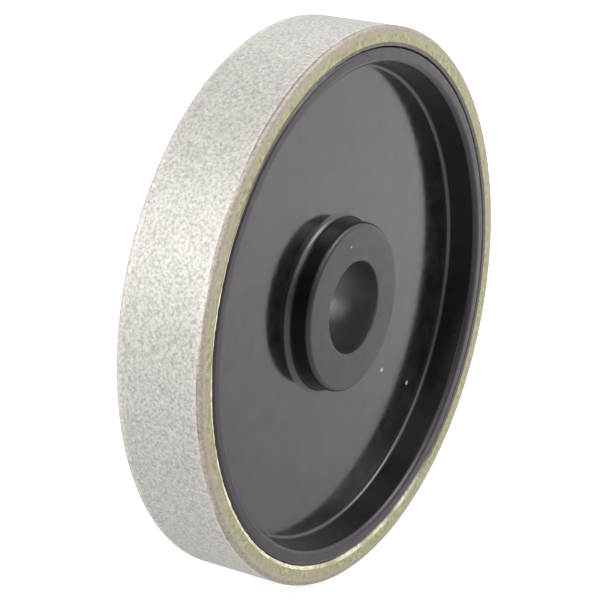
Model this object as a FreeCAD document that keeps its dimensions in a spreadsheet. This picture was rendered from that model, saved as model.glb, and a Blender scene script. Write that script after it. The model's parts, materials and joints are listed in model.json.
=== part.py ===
"""Six inch diamond grinding wheel: a dished plastic hub carrying a bonded diamond band.

Frame: millimetres, origin at the centre of the wheel, spin axis along Y, +Z up.
The wheel is the same on both sides of its mid-plane, y = 0.  Radii run along X in every section.
"""
import FreeCAD, Part
import os

import Sketcher

DIMENSIONS = [
    # alias, value in mm, note
    ("wheel_diameter", 152.4, "over the diamond layer, 6 in"),
    ("wheel_width", 25.4, "across the band, 1 in"),
    ("bore_diameter", 25.4, "arbor bore, 1 in"),
    ("diamond_thickness", 1.2, "plated metal and grit"),
    ("diamond_corner_round", 1.0, "outer corners of the plated layer"),
    ("backing_thickness", 3.6, "laminate ring under the diamond layer"),
    ("bond_thickness", 0.7, "adhesive between hub and laminate"),
    ("hub_width", 25.2, "across the hub's rim"),
    ("hub_corner_round", 1.3, "outer corners of the hub, beside the bond"),
    ("rim_mouth_diameter", 132.8, "dish wall at the rim face"),
    ("rim_foot_diameter", 130.6, "dish wall at the web"),
    ("rim_edge_round", 1.5, "inner edge of the rim face"),
    ("web_thickness", 7.1, "disc between rim and boss"),
    ("rim_foot_fillet", 1.0, "where the web meets the rim"),
    ("boss_foot_fillet", 1.9, "where the web meets the boss"),
    ("boss_diameter", 46.6, "boss round the bore"),
    ("boss_length", 21.0, "length through the bore"),
    ("boss_edge_round", 1.4, "outer edge of the boss faces"),
    ("bore_chamfer", 0.5, "mouths of the bore"),
]

# Sizes that follow from the driving ones, as sheet formulas.
DERIVED = [
    ("wheel_radius", "=wheel_diameter / 2"),
    ("backing_radius", "=wheel_radius - diamond_thickness"),
    ("bond_radius", "=backing_radius - backing_thickness"),
    ("hub_radius", "=bond_radius - bond_thickness"),
    ("bore_radius", "=bore_diameter / 2"),
    ("rim_mouth_radius", "=rim_mouth_diameter / 2"),
    ("rim_foot_radius", "=rim_foot_diameter / 2"),
    ("boss_radius", "=boss_diameter / 2"),
    ("half_hub_width", "=hub_width / 2"),
    ("half_web", "=web_thickness / 2"),
    ("half_boss", "=boss_length / 2"),
]

TOUCH = 1e-4  # two lengths closer than this are the same one

doc = FreeCAD.newDocument("DiamondWheel")


def make_sheet():
    """The spreadsheet of driving dimensions, with the derived ones below them."""
    sheet = doc.addObject("Spreadsheet::Sheet", "Dims")
    rows = [(alias, str(value), note) for alias, value, note in DIMENSIONS]
    rows += [(alias, formula, "derived") for alias, formula in DERIVED]
    for number, (alias, content, note) in enumerate(rows, start=1):
        sheet.set(f"A{number}", alias)
        sheet.set(f"B{number}", content)
        sheet.set(f"C{number}", note)
        sheet.setAlias(f"B{number}", alias)
    doc.recompute()
    return sheet


def origin_feature(body, role):
    """A body's own origin plane or axis."""
    return next(item for item in body.Origin.OriginFeatures if item.Role == role)


def make_body(name):
    body = doc.addObject("PartDesign::Body", name)
    body.Label = name
    body.Placement = FreeCAD.Placement()
    return body


def make_sketch(body, name, role):
    sketch = body.newObject("Sketcher::SketchObject", name)
    sketch.AttachmentSupport = [(origin_feature(body, role), "")]
    sketch.MapMode = "FlatFace"
    return sketch


def bind(sketch, constraint, formula):
    """Adds a named constraint and ties it to the sheet."""
    index = sketch.addConstraint(constraint)
    sketch.renameConstraint(index, f"size_{index}")
    sketch.setExpression(f"Constraints.size_{index}", formula)


def outline(sketch, corners):
    """A closed outline through corners, each a pair of sheet formulas: radius and height along Y."""
    points = [
        FreeCAD.Vector(float(sheet_value(radius)), float(sheet_value(height)), 0)
        for radius, height in corners
    ]
    count = len(points)
    for index, start in enumerate(points):
        sketch.addGeometry(Part.LineSegment(start, points[(index + 1) % count]), False)
    for index in range(count):
        following = (index + 1) % count
        sketch.addConstraint(Sketcher.Constraint("Coincident", index, 2, following, 1))
    for index, (radius, height) in enumerate(corners):
        point = points[index]
        bind(sketch, Sketcher.Constraint("DistanceX", -1, 1, index, 1, point.x), formula_of(radius))
        bind(sketch, Sketcher.Constraint("DistanceY", -1, 1, index, 1, point.y), formula_of(height))


def formula_of(entry):
    """'-alias' or 'alias' as an expression on the sheet."""
    sign = "-" if entry.startswith("-") else ""
    return f"{sign}Dims.{entry.lstrip('-')}"


def sheet_value(entry):
    value = getattr(dims, entry.lstrip("-"))
    return -value if entry.startswith("-") else value


def circle(sketch, alias):
    """A circle about the wheel's axis with its radius from the sheet."""
    ring = Part.Circle(FreeCAD.Vector(), FreeCAD.Vector(0, 0, 1), sheet_value(alias))
    index = sketch.addGeometry(ring, False)
    sketch.addConstraint(Sketcher.Constraint("Coincident", index, 3, -1, 1))
    bind(sketch, Sketcher.Constraint("Radius", index, sheet_value(alias)), formula_of(alias))


def ring_edges(shape, rings):
    """Names of the circular edges at each (radius, height) in rings, on both sides of the mid-plane."""
    names = []
    for number, edge in enumerate(shape.Edges, start=1):
        if not isinstance(edge.Curve, Part.Circle):
            continue
        size = edge.Curve.Radius
        height = abs(edge.Curve.Center.y)
        if any(abs(size - radius) < TOUCH and abs(height - level) < TOUCH for radius, level in rings):
            names.append(f"Edge{number}")
    return names


def dress(body, kind, name, rings, size_property, alias, expected):
    """A Fillet or Chamfer on the ring edges of the body so far."""
    doc.recompute()
    base = body.Tip
    names = ring_edges(base.Shape, rings)
    if len(names) != expected:
        raise RuntimeError(f"{name}: {len(names)} edges found, {expected} wanted")
    feature = body.newObject(f"PartDesign::{kind}", name)
    feature.Base = (base, names)
    feature.setExpression(size_property, f"Dims.{alias}")
    body.Tip = feature
    doc.recompute()
    return feature


def make_hub():
    """Moulded hub: boss, web and rim in one piece, turned from one half-section about Y."""
    body = make_body("hub")
    section = make_sketch(body, "HubSection", "XY_Plane")
    front = [
        ("bore_radius", "-half_boss"),
        ("boss_radius", "-half_boss"),
        ("boss_radius", "-half_web"),
        ("rim_foot_radius", "-half_web"),
        ("rim_mouth_radius", "-half_hub_width"),
        ("hub_radius", "-half_hub_width"),
    ]
    back = [(radius, height.lstrip("-")) for radius, height in reversed(front)]
    outline(section, front + back)
    turned = body.newObject("PartDesign::Revolution", "HubTurned")
    turned.Profile = section
    turned.ReferenceAxis = (section, ["V_Axis"])
    turned.Angle = 360.0
    web, boss, rim = dims.half_web, dims.half_boss, dims.half_hub_width
    dress(body, "Fillet", "RimFootFillets", [(dims.rim_foot_radius, web)], "Radius", "rim_foot_fillet", 2)
    dress(body, "Fillet", "BossFootFillets", [(dims.boss_radius, web)], "Radius", "boss_foot_fillet", 2)
    dress(body, "Fillet", "RimEdgeRounds", [(dims.rim_mouth_radius, rim)], "Radius", "rim_edge_round", 2)
    dress(body, "Fillet", "HubCornerRounds", [(dims.hub_radius, rim)], "Radius", "hub_corner_round", 2)
    dress(body, "Fillet", "BossEdgeRounds", [(dims.boss_radius, boss)], "Radius", "boss_edge_round", 2)
    dress(body, "Chamfer", "BoreChamfers", [(dims.bore_radius, boss)], "Size", "bore_chamfer", 2)
    return body


def make_ring(name, outer, inner, title):
    """A plain ring as wide as the wheel, between two radii from the sheet."""
    body = make_body(name)
    section = make_sketch(body, f"{title}Circles", "XZ_Plane")
    circle(section, outer)
    circle(section, inner)
    pad = body.newObject("PartDesign::Pad", f"{title}Pad")
    pad.Profile = section
    pad.SideType = "Symmetric"
    pad.setExpression("Length", "Dims.wheel_width")
    body.Tip = pad
    return body


def make_diamond_layer():
    """Plated diamond layer with rounded outer corners."""
    body = make_ring("diamond_layer", "wheel_radius", "backing_radius", "Diamond")
    dress(body, "Fillet", "DiamondCorners", [(dims.wheel_radius, dims.wheel_width / 2)],
          "Radius", "diamond_corner_round", 2)
    return body


def check(bodies):
    """Stops on any failed feature, and on any piece that isn't one valid solid inside the wheel."""
    for item in doc.Objects:
        if {"Invalid", "Error"} & set(item.State):
            raise RuntimeError(f"{item.Name}: {item.State}")
    for body in bodies:
        shape = body.Shape
        if shape.isNull() or not shape.isValid() or len(shape.Solids) != 1:
            raise RuntimeError(f"{body.Label}: not one valid solid")
        box = shape.optimalBoundingBox()
        sides = f"X {box.XLength:.2f}  Y {box.YLength:.2f}  Z {box.ZLength:.2f}"
        print(f"{body.Label}: {shape.Volume / 1000:.2f} cm3, {sides}")
    for index, first in enumerate(bodies):
        for second in bodies[index + 1:]:
            shared = first.Shape.common(second.Shape).Volume
            if shared > TOUCH:
                raise RuntimeError(f"{first.Label} and {second.Label} overlap by {shared:.4f} mm3")


dims = make_sheet()
pieces = [
    make_hub(),
    make_ring("bond_line", "bond_radius", "hub_radius", "Bond"),
    make_ring("backing_ring", "backing_radius", "bond_radius", "Backing"),
    make_diamond_layer(),
]
doc.recompute()
check(pieces)
os.makedirs("parts", exist_ok=True)
for piece in pieces:
    piece.Shape.exportStep(f"parts/{piece.Label}.step")
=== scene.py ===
"""Diamond grinding wheel: hub, bond bead, laminate ring and diamond plating, in metres.

The wheel spins about Y.  Every round piece is turned the same way: a circle is drawn about the axis,
then extruded and scaled ring by ring along its section and mirrored to the other side; the hub and the
plating are then bevelled.
"""
import json
import math

import bpy
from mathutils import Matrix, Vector


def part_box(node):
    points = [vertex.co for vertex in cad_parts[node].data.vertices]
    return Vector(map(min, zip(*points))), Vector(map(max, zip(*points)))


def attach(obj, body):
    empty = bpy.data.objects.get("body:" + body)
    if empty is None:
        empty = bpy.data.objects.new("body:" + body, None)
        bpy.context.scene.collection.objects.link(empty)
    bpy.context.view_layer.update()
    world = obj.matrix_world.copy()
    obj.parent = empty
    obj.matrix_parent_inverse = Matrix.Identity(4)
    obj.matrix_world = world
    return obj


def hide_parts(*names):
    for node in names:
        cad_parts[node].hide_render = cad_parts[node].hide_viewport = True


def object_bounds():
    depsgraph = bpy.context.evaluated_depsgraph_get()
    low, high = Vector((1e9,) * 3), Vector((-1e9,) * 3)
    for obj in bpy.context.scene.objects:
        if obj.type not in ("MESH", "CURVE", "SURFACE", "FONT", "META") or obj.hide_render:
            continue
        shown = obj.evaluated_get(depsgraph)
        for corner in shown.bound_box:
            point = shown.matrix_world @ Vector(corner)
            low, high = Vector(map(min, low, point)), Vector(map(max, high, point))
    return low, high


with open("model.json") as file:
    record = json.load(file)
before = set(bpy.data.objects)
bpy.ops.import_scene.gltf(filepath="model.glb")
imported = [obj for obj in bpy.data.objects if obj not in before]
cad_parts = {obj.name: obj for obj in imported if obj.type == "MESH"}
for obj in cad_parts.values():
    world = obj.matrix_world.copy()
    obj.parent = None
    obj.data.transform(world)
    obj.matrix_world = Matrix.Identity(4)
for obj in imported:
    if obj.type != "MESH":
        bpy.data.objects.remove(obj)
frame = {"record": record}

cad_low, cad_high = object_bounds()

MM = 0.001


def node_radius(node):
    """How far a CAD node reaches from the wheel's axis."""
    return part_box(node)[1].x


def node_half_width(node):
    """How far a CAD node reaches from the wheel's middle plane."""
    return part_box(node)[1].y


# Radii and half-widths that the frame gives.
WHEEL_RADIUS = node_radius("diamond_layer")
PLATING_INNER = node_radius("backing_ring")
LAMINATE_INNER = node_radius("bond_line")
HUB_RADIUS = node_radius("hub")
HALF_WIDTH = node_half_width("diamond_layer")
HALF_HUB = node_half_width("hub")
BORE_RADIUS = next(m["dims"]["r_mm"] for m in frame["record"]["mounts"] if m["kind"] == "bore") * MM

# The hub's section.
HALF_WEB = 3.55 * MM
HALF_BOSS = 10.5 * MM
BOSS_RADIUS = 23.3 * MM
RIM_MOUTH = 66.4 * MM
RIM_FOOT = 65.3 * MM
RIM_FOOT_FILLET = 1.0 * MM
BOSS_FOOT_FILLET = 1.9 * MM
RIM_MOUTH_ROUND = 1.5 * MM
RIM_OUTER_ROUND = 1.3 * MM
BOSS_EDGE_ROUND = 1.4 * MM
BORE_CHAMFER = 0.5 * MM

# The bead of adhesive, and how it swells over the hub's edge, as (inwards, below the band's end).
BEAD_LIP = 0.35 * MM
BEAD_DEPTH = 1.2 * MM
BEAD_SWELL = [(0.20 * MM, 0.55 * MM), (0.05 * MM, 0.15 * MM), (-0.25 * MM, 0)]
BEAD_LUMP = 2.2 * MM
BEAD_RELIEF = 0.30 * MM

# The laminate's cut ends.
LAMINATE_ROWS = 5
LAMINATE_LUMP = 0.9 * MM
LAMINATE_RELIEF = 0.05 * MM

# The plating and its grit.
PLATING_ROUND = 1.0 * MM
GRIT_ROWS = 28
GRIT_SIZE = 0.6 * MM
GRIT_RELIEF = 0.11 * MM

# How near a point or a face must be to a ring or a surface to belong to it.
RING_TOLERANCE = 0.02 * MM
FACE_TOLERANCE = 0.1 * MM
END_TOLERANCE = 0.01 * MM

# Points nearer than this, in metres, are welded where the halves meet and over the whole piece.
MIRROR_WELD = 1e-6
PIECE_WELD = 1e-7

# Faces that meet at less than this many degrees look like one surface.
SMOOTH_ANGLE = 30
ROUGH_SMOOTH_ANGLE = 60

# Tones of the plating, from its face to its end, and the width of the darker band beside it on the
# laminate.
GRIT_TONE = (0.300, 0.290, 0.271)
# The lip's tone is a painted highlight: lighter where the plating's raised lip catches the light.
LIP_HIGHLIGHT_TONE = (0.345, 0.325, 0.300)
# The crease's tone is painted shade: a dark line where the grit face meets the rounded corner.
CREASE_SHADE_TONE = (0.120, 0.100, 0.085)
CORNER_TONE = (0.250, 0.220, 0.180)
DARK_BAND_WIDTH = 1.3 * MM

# Tones of the laminate, as ramp stops, and of the film and the stains on it.
OLIVE_STOPS = [(0.30, (0.115, 0.112, 0.050)), (0.50, (0.225, 0.222, 0.118)), (0.70, (0.335, 0.330, 0.200))]
FILM_TONE = (0.280, 0.250, 0.185)
LAMINATE_STAIN = (0.250, 0.195, 0.125)

# Tones of the adhesive, as ramp stops, of the stains on it, and of the painted shade over its upper right.
CREAM_STOPS = [(0.3, (0.32, 0.30, 0.20)), (0.5, (0.50, 0.48, 0.34)), (0.7, (0.62, 0.60, 0.46))]
BEAD_STAIN = (0.260, 0.205, 0.135)
SHADED_BEAD_TONE = (0.066, 0.055, 0.048)

# Tones of the bore, as ramp stops.
BORE_STOPS = [(0.3, (0.0018, 0.0016, 0.0019)), (0.7, (0.0040, 0.0036, 0.0042))]

# Dust specks, as (x, y, z, radius) in millimetres.
WEB_DUST = [(27.4, -3.55, -29.1, 1.0), (42.2, -3.55, -38.3, 1.0)]
BOSS_DUST = [(-1.7, -10.5, 17.7, 0.5)]
DUST_TONE = (0.36, 0.35, 0.37)

# The floor's tone, its glow under the wheel and to the right, and how far off that is in metres.
FLOOR_STOPS = [(0.3, 0.205), (0.7, 0.215)]
FLOOR_GLOW = 0.84
FLOOR_GLOW_RIGHT = 1.28
FLOOR_SWEEP = 0.32

# How strongly the surroundings light the wheel, and how bright they look.
SURROUND_LIGHT = 0.62
SURROUND_SEEN = 1.1

# Soft boxes, as (name, direction from the wheel, distance, width, watts).
SOFT_BOXES = [
    ("left_box", (-0.82, 0.20, 0.53), 1.8, 1.05, 45),
    ("front_box", (0.38, -0.60, 0.70), 1.7, 0.9, 20),
    ("fill_box", (-0.15, -0.80, 0.58), 1.7, 0.9, 5.5),
    ("right_box", (0.82, -0.46, 0.30), 1.9, 1.5, 7.5),
    ("top_box", (-0.25, -0.22, 0.94), 1.6, 0.9, 5.0),
    ("back_box", (0.65, 0.30, 0.70), 1.7, 1.0, 8.0),
]

# The camera, in metres, degrees and millimetres of lens.
CAMERA_PLACE = (-0.46708, -0.28643, 0.20464)
CAMERA_AZIMUTH = -57.885
CAMERA_ELEVATION = 20.47
CAMERA_LENS = 129.4
CAMERA_SENSOR = 36


# ---------------------------------------------------------------- modelling helpers

def select_only(piece):
    """Selects one piece and makes it the active one."""
    bpy.ops.object.select_all(action="DESELECT")
    piece.select_set(True)
    bpy.context.view_layer.objects.active = piece


def start_ring(name, radius, height, segments):
    """A circle about the Y axis, left in edit mode with all of it selected."""
    bpy.ops.object.select_all(action="DESELECT")
    bpy.ops.mesh.primitive_circle_add(
        vertices=segments, radius=radius, location=(0, height, 0), rotation=(math.pi / 2, 0, 0))
    bpy.ops.object.transform_apply(location=True, rotation=True, scale=True)
    piece = bpy.context.active_object
    piece.name = name
    piece.data.name = name
    bpy.ops.object.mode_set(mode="EDIT")
    bpy.ops.mesh.select_all(action="SELECT")
    return piece


def turn(name, section, segments):
    """Extrudes a ring along a section of (radius, height) points, and stays in edit mode."""
    radius, height = section[0]
    piece = start_ring(name, radius, height, segments)
    for next_radius, next_height in section[1:]:
        bpy.ops.mesh.extrude_region_move(
            TRANSFORM_OT_translate={"value": (0, next_height - height, 0)})
        ratio = next_radius / radius
        bpy.ops.transform.resize(value=(ratio, 1, ratio), center_override=(0, next_height, 0))
        radius, height = next_radius, next_height
    return piece


def apply_modifier(piece, kind, **settings):
    """Adds a modifier with these settings and applies it."""
    select_only(piece)
    modifier = piece.modifiers.new(kind.title(), kind)
    for key, value in settings.items():
        setattr(modifier, key, value)
    bpy.ops.object.modifier_apply(modifier=modifier.name)


def mirror_side(piece):
    """Leaves edit mode and copies the front half to the rear, welded along the middle."""
    bpy.ops.object.mode_set(mode="OBJECT")
    apply_modifier(piece, "MIRROR", use_axis=(False, True, False), merge_threshold=MIRROR_WELD)


def face_outwards(piece):
    """Merges doubled points and turns every face outwards."""
    select_only(piece)
    bpy.ops.object.mode_set(mode="EDIT")
    bpy.ops.mesh.select_all(action="SELECT")
    bpy.ops.mesh.remove_doubles(threshold=PIECE_WELD)
    bpy.ops.mesh.normals_make_consistent(inside=False)
    bpy.ops.object.mode_set(mode="OBJECT")


def distance_from_axis(point):
    """How far a point of a mesh is from the wheel's axis."""
    return math.hypot(point.x, point.z)


def on_ring(point, radius, height):
    """True if a point is on the ring at this radius and this height, on either side."""
    return (abs(distance_from_axis(point) - radius) < RING_TOLERANCE
            and abs(abs(point.y) - height) < RING_TOLERANCE)


def bevel_ring(piece, radius, height, size, steps):
    """Rounds the sharp rings at this radius and height, one on each side."""
    select_only(piece)
    bpy.ops.object.mode_set(mode="EDIT")
    bpy.ops.mesh.select_mode(type="EDGE")
    bpy.ops.mesh.select_all(action="DESELECT")
    bpy.ops.object.mode_set(mode="OBJECT")
    points = piece.data.vertices
    for edge in piece.data.edges:
        edge.select = all(on_ring(points[index].co, radius, height) for index in edge.vertices)
    bpy.ops.object.mode_set(mode="EDIT")
    bpy.ops.mesh.bevel(offset=size, segments=steps, profile=0.5, affect="EDGES")
    bpy.ops.object.mode_set(mode="OBJECT")


def roughen(piece, kind, size, depth, wanted):
    """Sinks the points that are wanted into the surface by a solid pattern of this size and depth."""
    group = piece.vertex_groups.new(name="rough")
    group.add([point.index for point in piece.data.vertices if wanted(point.co)], 1.0, "REPLACE")
    pattern = bpy.data.textures.new(piece.name + "_relief", kind)
    pattern.noise_scale = size
    apply_modifier(piece, "DISPLACE", texture=pattern, texture_coords="LOCAL", vertex_group="rough",
                   strength=-depth, mid_level=0.0)


def shade(piece, degrees=SMOOTH_ANGLE):
    """Smooths the shading across edges shallower than this."""
    select_only(piece)
    bpy.ops.object.shade_smooth_by_angle(angle=math.radians(degrees))


def finish_piece(piece, materials, node):
    """Gives a piece its materials, as (material, wanted) with wanted tested on face centres."""
    piece.data.materials.clear()
    for index, (material, wanted) in enumerate(materials):
        piece.data.materials.append(material)
        for face in piece.data.polygons:
            if wanted(face.center):
                face.material_index = index
    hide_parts(node)
    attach(piece, "root")


def everywhere(point):
    """True for every face, for a finish that covers the whole piece."""
    return True


# ---------------------------------------------------------------- material helpers

def new_material(name):
    """A material with its node tree, its shader and the piece's own coordinates."""
    material = bpy.data.materials.new(name)
    material.use_nodes = True
    nodes = material.node_tree.nodes
    shader = nodes["Principled BSDF"]
    coords = nodes.new("ShaderNodeTexCoord")
    return material, material.node_tree, shader, coords.outputs["Object"]


def vector_maths(tree, operation, vector, fixed=(0, 0, 0)):
    """A vector scaled by a fixed one, or the number that another vector operation gives."""
    node = tree.nodes.new("ShaderNodeVectorMath")
    node.operation = operation
    tree.links.new(vector, node.inputs[0])
    node.inputs[1].default_value = fixed
    return node.outputs["Vector" if operation == "MULTIPLY" else "Value"]


def axis_distance(tree, coords):
    """How far a point is from the wheel's axis."""
    return vector_maths(tree, "LENGTH", vector_maths(tree, "MULTIPLY", coords, (1, 0, 1)))


def middle_distance(tree, coords):
    """How far a point is from the wheel's middle plane."""
    return vector_maths(tree, "LENGTH", vector_maths(tree, "MULTIPLY", coords, (0, 1, 0)))


def section_coords(tree, coords):
    """Coordinates that are the same all round the wheel, so that a pattern on them makes rings."""
    node = tree.nodes.new("ShaderNodeCombineXYZ")
    tree.links.new(axis_distance(tree, coords), node.inputs["X"])
    tree.links.new(middle_distance(tree, coords), node.inputs["Y"])
    return node.outputs["Vector"]


def noise(tree, coords, scale, detail=3.0, roughness=0.5):
    """Cloudy noise, with its scale in repeats per metre."""
    node = tree.nodes.new("ShaderNodeTexNoise")
    node.inputs["Scale"].default_value = scale
    node.inputs["Detail"].default_value = detail
    node.inputs["Roughness"].default_value = roughness
    tree.links.new(coords, node.inputs["Vector"])
    return node.outputs["Fac"]


def cells(tree, coords, scale):
    """A random tone for each cell, with the scale in cells per metre."""
    node = tree.nodes.new("ShaderNodeTexVoronoi")
    node.inputs["Scale"].default_value = scale
    tree.links.new(coords, node.inputs["Vector"])
    return node.outputs["Color"]


def ramp(tree, value, stops):
    """A colour ramp through (position, grey or colour) stops."""
    node = tree.nodes.new("ShaderNodeValToRGB")
    elements = node.color_ramp.elements
    while len(elements) < len(stops):
        elements.new(0.5)
    for element, (position, colour) in zip(elements, stops):
        element.position = position
        element.color = (colour,) * 3 + (1,) if isinstance(colour, float) else (*colour, 1)
    tree.links.new(value, node.inputs["Fac"])
    return node.outputs["Color"]


def band(tree, value, low, high, start=0.0, end=1.0):
    """The start value at low, the end value at high, smooth between."""
    node = tree.nodes.new("ShaderNodeMapRange")
    node.interpolation_type = "SMOOTHSTEP"
    node.inputs["From Min"].default_value = low
    node.inputs["From Max"].default_value = high
    node.inputs["To Min"].default_value = start
    node.inputs["To Max"].default_value = end
    tree.links.new(value, node.inputs["Value"])
    return node.outputs["Result"]


def mix(tree, factor, first, second, blend="MIX"):
    """The first input turned into the second by the factor, each a socket, a colour or a number."""
    node = tree.nodes.new("ShaderNodeMix")
    node.data_type = "RGBA"
    node.blend_type = blend
    for socket, value in ((node.inputs[0], factor), (node.inputs[6], first), (node.inputs[7], second)):
        if isinstance(value, bpy.types.NodeSocket):
            tree.links.new(value, socket)
        elif isinstance(value, tuple):
            socket.default_value = (*value, 1)
        else:
            socket.default_value = value
    return node.outputs[2]


def multiply(tree, first, second):
    """Two tones or colours multiplied."""
    return mix(tree, 1.0, first, second, "MULTIPLY")


def bump(tree, shader, height, distance, strength):
    """Gives the shader relief from a height, with the distance in metres."""
    node = tree.nodes.new("ShaderNodeBump")
    node.inputs["Distance"].default_value = distance
    node.inputs["Strength"].default_value = strength
    tree.links.new(height, node.inputs["Height"])
    tree.links.new(node.outputs["Normal"], shader.inputs["Normal"])


def dust(tree, coords, places):
    """1 at the middle of a small speck at each place, fading to 0 at its edge."""
    total = None
    for x, y, z, radius in places:
        gap = vector_maths(tree, "DISTANCE", coords, Vector((x, y, z)) * MM)
        speck = band(tree, gap, 0, radius * MM, 1.0, 0.0)
        total = speck if total is None else mix(tree, 1.0, total, speck, "ADD")
    return total


# ---------------------------------------------------------------- materials

def black_plastic(name, tone, gloss, ior, level, tint):
    """Black plastic with its depth of tone and its gloss both mottled, its skin still smooth."""
    material, tree, shader, coords = new_material(name)
    low, high = tone
    mottle = noise(tree, coords, 190.0, detail=5.0)
    colour = ramp(tree, mottle, [(0.3, (low, 0.85 * low, low)), (0.7, (high, 0.85 * high, high))])
    tree.links.new(colour, shader.inputs["Base Color"])
    smooth, dull = gloss
    sheen = ramp(tree, noise(tree, coords, 340.0, detail=5.0), [(0.3, smooth), (0.7, dull)])
    tree.links.new(sheen, shader.inputs["Roughness"])
    shader.inputs["IOR"].default_value = ior
    shader.inputs["Specular IOR Level"].default_value = level
    shader.inputs["Specular Tint"].default_value = (*tint, 1)
    return material, tree, shader, coords


def moulded_skin(tree, shader, coords, scale):
    """The faint grain that the mould leaves."""
    bump(tree, shader, noise(tree, coords, scale, detail=5.0), distance=0.02 * MM, strength=0.25)


def settle_dust(tree, shader, coords, places):
    """Lays specks of dust over the shader's colour."""
    base = shader.inputs["Base Color"]
    clean = base.links[0].from_socket
    tree.links.new(mix(tree, dust(tree, coords, places), clean, DUST_TONE), base)


def web_plastic():
    """The moulding's web: glossy, with a few dust specks."""
    material, tree, shader, coords = black_plastic(
        "hub_plastic", tone=(0.0010, 0.0110), gloss=(0.10, 0.17),
        ior=1.6, level=0.5, tint=(1.0, 0.87, 1.0))
    moulded_skin(tree, shader, coords, 420.0)
    settle_dust(tree, shader, coords, WEB_DUST)
    return material


def draft_plastic():
    """The moulding's steep walls: duller."""
    material, tree, shader, coords = black_plastic(
        "draft_plastic", tone=(0.0024, 0.0046), gloss=(0.26, 0.36),
        ior=1.5, level=0.35, tint=(1.0, 0.92, 1.0))
    moulded_skin(tree, shader, coords, 600.0)
    return material


def blend_plastic():
    """The fillets at the feet of the walls: satin and clear."""
    material, tree, shader, coords = black_plastic(
        "blend_plastic", tone=(0.0010, 0.0030), gloss=(0.27, 0.35),
        ior=1.6, level=0.5, tint=(1.0, 0.92, 1.0))
    moulded_skin(tree, shader, coords, 600.0)
    return material


def turned_plastic():
    """The ends that a tool has faced: satin, with fine rings about the axis and a speck of dust."""
    material, tree, shader, coords = black_plastic(
        "turned_plastic", tone=(0.0015, 0.0032), gloss=(0.32, 0.42),
        ior=1.5, level=0.5, tint=(0.97, 0.84, 1.0))
    settle_dust(tree, shader, coords, BOSS_DUST)
    rings = noise(tree, section_coords(tree, coords), 2600.0, detail=2.0)
    bump(tree, shader, rings, distance=0.01 * MM, strength=0.12)
    return material


def bored_plastic():
    """The bore's wall: scored round by the boring tool, and dulled by wear."""
    material, tree, shader, coords = new_material("bored_plastic")
    colour = ramp(tree, noise(tree, coords, 300.0, detail=4.0), BORE_STOPS)
    tree.links.new(colour, shader.inputs["Base Color"])
    scores = noise(tree, section_coords(tree, coords), 2200.0, detail=3.0)
    tree.links.new(ramp(tree, scores, [(0.3, 0.42), (0.7, 0.52)]), shader.inputs["Roughness"])
    shader.inputs["IOR"].default_value = 1.55
    shader.inputs["Specular IOR Level"].default_value = 1.0
    shader.inputs["Specular Tint"].default_value = (0.98, 0.95, 1.0, 1)
    bump(tree, shader, scores, distance=0.05 * MM, strength=0.6)
    return material


def bond_resin():
    """Pale cured adhesive with tan stains, painted near black over its upper right as painted shade in the
    groove by the hub.
    """
    material, tree, shader, coords = new_material("bond_resin")
    cream = ramp(tree, noise(tree, coords, 900.0, detail=5.0), CREAM_STOPS)
    stain = ramp(tree, noise(tree, coords, 75.0, detail=4.0), [(0.45, 0.0), (0.60, 0.9)])
    stained = mix(tree, stain, cream, BEAD_STAIN)
    # Painted shade: the bead turns near black over its upper right, standing in for the shade in the
    # groove beside the hub.
    upper_right = vector_maths(tree, "DOT_PRODUCT", coords, (0.75, 0, 0.66))
    painted_shade = band(tree, upper_right, -28 * MM, -5 * MM)
    colour = mix(tree, painted_shade, stained, SHADED_BEAD_TONE)
    tree.links.new(colour, shader.inputs["Base Color"])
    shader.inputs["Roughness"].default_value = 0.45
    bump(tree, shader, noise(tree, coords, 1500.0), distance=0.1 * MM, strength=0.5)
    return material


def laminate():
    """Olive glass-fibre laminate, its edge mottled, stained tan in patches and darker over a band next to
    the plating.
    """
    material, tree, shader, coords = new_material("laminate")
    olive = ramp(tree, noise(tree, coords, 700.0, detail=6.0, roughness=0.65), OLIVE_STOPS)
    film = ramp(tree, noise(tree, coords, 26.0, detail=2.0), [(0.52, 0.0), (0.66, 0.5)])
    filmed = mix(tree, film, olive, FILM_TONE)
    stain = ramp(tree, noise(tree, coords, 130.0, detail=4.0), [(0.52, 0.0), (0.68, 1.0)])
    stained = mix(tree, stain, filmed, LAMINATE_STAIN)
    radius = axis_distance(tree, coords)
    # The laminate turns darker over a band next to the plating.
    darker_by_plating = band(tree, radius, PLATING_INNER - DARK_BAND_WIDTH, PLATING_INNER - 0.6 * DARK_BAND_WIDTH, end=0.65)
    colour = mix(tree, darker_by_plating, stained, CORNER_TONE)
    tree.links.new(colour, shader.inputs["Base Color"])
    shader.inputs["Roughness"].default_value = 0.6
    bump(tree, shader, noise(tree, coords, 2200.0, detail=4.0), distance=0.12 * MM, strength=0.5)
    return material


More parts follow.
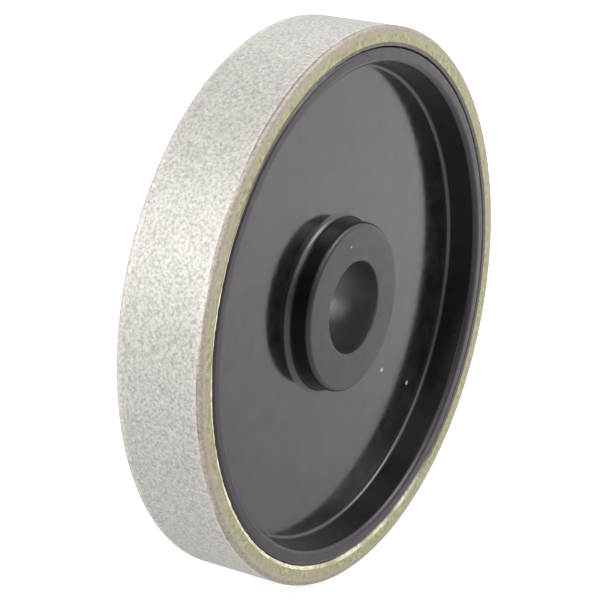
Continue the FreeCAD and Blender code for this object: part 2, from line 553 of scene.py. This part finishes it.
def diamond_plate():
    """Matt nickel crowded with grit, with a painted highlight along its lip and painted shade in its front
    crease, darker and browner where it rounds the corner.
    """
    material, tree, shader, coords = new_material("diamond_plate")
    # The speckle is partly the grit's own tone and partly painted glints and painted shadows of single
    # grains.
    clumps_glints_and_shadows = ramp(tree, noise(tree, coords, 1120.0, detail=2.0), [(0.30, 0.73), (0.50, 1.0), (0.70, 1.19)])
    grains_glints_and_shadows = ramp(tree, cells(tree, coords, 2600.0), [(0.0, 0.72), (0.25, 1.0), (1.0, 1.12)])
    cloud = ramp(tree, noise(tree, coords, 110.0, detail=4.0), [(0.3, 0.96), (0.7, 1.04)])
    tone = multiply(tree, multiply(tree, clumps_glints_and_shadows, grains_glints_and_shadows), cloud)
    edge = HALF_WIDTH - PLATING_ROUND
    # Painted highlight: the band along the lip of the grit face is painted lighter, where the raised lip
    # catches the light.
    lip_highlight = band(tree, middle_distance(tree, coords), edge - 1.3 * MM, edge - 0.5 * MM)
    front = vector_maths(tree, "DOT_PRODUCT", coords, (0, -1, 0))
    # Painted shade: a dark line along the front crease where the grit face meets the rounded corner.
    crease_shade = band(tree, front, edge - 0.35 * MM, edge - 0.1 * MM)
    corner = band(tree, front, edge + 0.1 * MM, edge + 0.4 * MM)
    # A noise that breaks the painted crease shade into patches.
    shade_patches = ramp(tree, noise(tree, coords, 45.0), [(0.42, 0.1), (0.58, 0.8)])
    metal = mix(tree, lip_highlight, GRIT_TONE, LIP_HIGHLIGHT_TONE)
    metal = mix(tree, multiply(tree, crease_shade, shade_patches), metal, CREASE_SHADE_TONE)
    metal = mix(tree, corner, metal, CORNER_TONE)
    tree.links.new(multiply(tree, metal, tone), shader.inputs["Base Color"])
    shader.inputs["Roughness"].default_value = 0.55
    shader.inputs["Metallic"].default_value = 0.4
    bump(tree, shader, noise(tree, coords, 2400.0, detail=2.0), distance=0.2 * MM, strength=0.35)
    return material


# ---------------------------------------------------------------- pieces

def make_hub():
    """One moulding: rim, web and boss, from the outer middle round to the bore's middle."""
    section = [
        (HUB_RADIUS, 0),
        (HUB_RADIUS, -HALF_HUB),
        (RIM_MOUTH, -HALF_HUB),
        (RIM_FOOT, -HALF_WEB),
        (BOSS_RADIUS, -HALF_WEB),
        (BOSS_RADIUS, -HALF_BOSS),
        (BORE_RADIUS, -HALF_BOSS),
        (BORE_RADIUS, 0),
    ]
    hub = turn("wheel_hub", section, segments=240)
    mirror_side(hub)
    bevel_ring(hub, RIM_FOOT, HALF_WEB, RIM_FOOT_FILLET, steps=6)
    bevel_ring(hub, BOSS_RADIUS, HALF_WEB, BOSS_FOOT_FILLET, steps=8)
    bevel_ring(hub, RIM_MOUTH, HALF_HUB, RIM_MOUTH_ROUND, steps=12)
    bevel_ring(hub, BOSS_RADIUS, HALF_BOSS, BOSS_EDGE_ROUND, steps=8)
    bevel_ring(hub, BORE_RADIUS, HALF_BOSS, BORE_CHAMFER, steps=2)
    bevel_ring(hub, HUB_RADIUS, HALF_HUB, RIM_OUTER_ROUND, steps=8)
    face_outwards(hub)
    shade(hub)
    apply_modifier(hub, "WEIGHTED_NORMAL", keep_sharp=True)
    finishes = [
        (web_plastic(), everywhere),
        (draft_plastic(), is_steep),
        (blend_plastic(), is_foot),
        (turned_plastic(), is_faced),
        (bored_plastic(), is_bore),
    ]
    finish_piece(hub, finishes, "hub")


def is_steep(point):
    """The dish's wall and the boss's side, above their fillets."""
    radius = distance_from_axis(point)
    rise = abs(point.y) - HALF_WEB
    on_wall = radius > RIM_FOOT - RIM_FOOT_FILLET and rise > RIM_FOOT_FILLET
    on_boss = radius < BOSS_RADIUS + FACE_TOLERANCE and rise > BOSS_FOOT_FILLET
    return on_wall or on_boss


def is_foot(point):
    """The fillets where the web meets the boss and the rim."""
    radius = distance_from_axis(point)
    rise = abs(point.y) - HALF_WEB
    on_boss_foot = radius < BOSS_RADIUS + BOSS_FOOT_FILLET and 0 < rise < BOSS_FOOT_FILLET
    on_rim_foot = radius > RIM_FOOT - RIM_FOOT_FILLET and 0 < rise < RIM_FOOT_FILLET
    return on_boss_foot or on_rim_foot


def is_faced(point):
    """The ends of the rim and the boss, which a tool has cut."""
    radius = distance_from_axis(point)
    depth = abs(point.y)
    on_rim_end = radius > RIM_MOUTH - FACE_TOLERANCE and depth > HALF_HUB - RIM_OUTER_ROUND
    on_boss_end = radius < BOSS_RADIUS + FACE_TOLERANCE and depth > HALF_BOSS - BOSS_EDGE_ROUND
    return on_rim_end or on_boss_end


def is_bore(point):
    """The bore's wall, without its chamfers."""
    return distance_from_axis(point) < BORE_RADIUS + FACE_TOLERANCE


def make_bond_bead():
    """Adhesive film between hub and laminate, squeezed out into an uneven bead at each face."""
    section = [(HUB_RADIUS, 0), (HUB_RADIUS, -HALF_WIDTH + BEAD_DEPTH)]
    section += [(HUB_RADIUS - inwards, -HALF_WIDTH + below) for inwards, below in BEAD_SWELL]
    section += [
        (LAMINATE_INNER, -HALF_WIDTH),
        (LAMINATE_INNER + BEAD_LIP, -HALF_WIDTH),
        (LAMINATE_INNER, -HALF_WIDTH + BEAD_LIP),
        (LAMINATE_INNER, 0),
    ]
    bead = turn("bond_bead", section, segments=1000)
    mirror_side(bead)
    face_outwards(bead)
    roughen(bead, "CLOUDS", BEAD_LUMP, BEAD_RELIEF, is_squeezed_out)
    shade(bead, ROUGH_SMOOTH_ANGLE)
    finish_piece(bead, [(bond_resin(), everywhere)], "bond_line")


def is_squeezed_out(point):
    """The bead, without the film behind it."""
    return abs(point.y) > HALF_WIDTH - BEAD_DEPTH


def make_laminate_ring():
    """Ring of laminate under the plating, its cut ends slightly rough."""
    inner = LAMINATE_INNER + BEAD_LIP
    step = (PLATING_INNER - inner) / LAMINATE_ROWS
    section = [(LAMINATE_INNER, 0), (LAMINATE_INNER, -HALF_WIDTH + BEAD_LIP)]
    section += [(inner + step * row, -HALF_WIDTH) for row in range(LAMINATE_ROWS + 1)]
    section += [(PLATING_INNER, 0)]
    ring = turn("laminate_ring", section, segments=720)
    mirror_side(ring)
    face_outwards(ring)
    roughen(ring, "CLOUDS", LAMINATE_LUMP, LAMINATE_RELIEF, is_cut_end)
    shade(ring)
    finish_piece(ring, [(laminate(), everywhere)], "backing_ring")


def is_cut_end(point):
    """The ends of the band, where the laminate was cut to width."""
    return abs(point.y) > HALF_WIDTH - END_TOLERANCE


def make_plating():
    """Plated layer, its outer face and corners broken up by grit."""
    flat = HALF_WIDTH - PLATING_ROUND
    section = [(PLATING_INNER, 0), (PLATING_INNER, -HALF_WIDTH), (WHEEL_RADIUS, -HALF_WIDTH)]
    section += [(WHEEL_RADIUS, -flat * (1 - row / GRIT_ROWS)) for row in range(1, GRIT_ROWS + 1)]
    ring = turn("diamond_plating", section, segments=1200)
    mirror_side(ring)
    bevel_ring(ring, WHEEL_RADIUS, HALF_WIDTH, PLATING_ROUND, steps=4)
    face_outwards(ring)
    roughen(ring, "VORONOI", GRIT_SIZE, GRIT_RELIEF, is_gritty)
    shade(ring, ROUGH_SMOOTH_ANGLE)
    finish_piece(ring, [(diamond_plate(), everywhere)], "diamond_layer")


def is_gritty(point):
    """All of the plating but its inner face, which is bonded to the laminate."""
    return distance_from_axis(point) > PLATING_INNER + FACE_TOLERANCE


# ---------------------------------------------------------------- stage

def make_floor():
    """A pale floor that glows a little, more so to the right."""
    bpy.ops.object.select_all(action="DESELECT")
    bpy.ops.mesh.primitive_plane_add(size=8, location=(0, 0, cad_low.z))
    floor = bpy.context.active_object
    floor.name = "studio_floor"
    material, tree, shader, coords = new_material("studio_floor")
    tree.links.new(ramp(tree, noise(tree, coords, 30.0), FLOOR_STOPS), shader.inputs["Base Color"])
    shader.inputs["Roughness"].default_value = 0.9
    shader.inputs["Specular IOR Level"].default_value = 0.1
    shader.inputs["Emission Color"].default_value = (1, 1, 1, 1)
    right = vector_maths(tree, "DOT_PRODUCT", coords, (1, 0, 0))
    sweep = band(tree, right, 0.0, FLOOR_SWEEP, FLOOR_GLOW, FLOOR_GLOW_RIGHT)
    tree.links.new(sweep, shader.inputs["Emission Strength"])
    floor.data.materials.append(material)


def make_surroundings():
    """White surroundings that look brighter than they light the wheel."""
    world = bpy.data.worlds.new("studio")
    world.use_nodes = True
    nodes = world.node_tree.nodes
    strength = nodes.new("ShaderNodeMapRange")
    strength.inputs["To Min"].default_value = SURROUND_LIGHT
    strength.inputs["To Max"].default_value = SURROUND_SEEN
    rays = nodes.new("ShaderNodeLightPath")
    world.node_tree.links.new(rays.outputs["Is Camera Ray"], strength.inputs["Value"])
    back = nodes["Background"]
    back.inputs["Color"].default_value = (1, 1, 1, 1)
    world.node_tree.links.new(strength.outputs["Result"], back.inputs["Strength"])
    bpy.context.scene.world = world


def make_soft_box(name, direction, distance, width, watts):
    """A square light that faces the wheel's centre and doesn't show itself."""
    data = bpy.data.lights.new(name, "AREA")
    data.size = width
    data.energy = watts
    lamp = bpy.data.objects.new(name, data)
    place = Vector(direction).normalized() * distance
    lamp.location = place
    lamp.rotation_euler = place.to_track_quat("Z", "Y").to_euler()
    lamp.visible_camera = False
    bpy.context.scene.collection.objects.link(lamp)


def make_camera():
    """A long lens from the front left, a little above the wheel."""
    data = bpy.data.cameras.new("camera")
    data.sensor_width = CAMERA_SENSOR
    data.lens = CAMERA_LENS
    camera = bpy.data.objects.new("camera", data)
    camera.location = CAMERA_PLACE
    tilt = math.pi / 2 - math.radians(CAMERA_ELEVATION)
    camera.rotation_euler = (tilt, 0, math.radians(CAMERA_AZIMUTH))
    bpy.context.scene.collection.objects.link(camera)
    bpy.context.scene.camera = camera


make_camera()
make_hub()
make_bond_bead()
make_laminate_ring()
make_plating()
make_floor()
make_surroundings()
for soft_box in SOFT_BOXES:
    make_soft_box(*soft_box)
bpy.context.scene.view_settings.view_transform = "Standard"
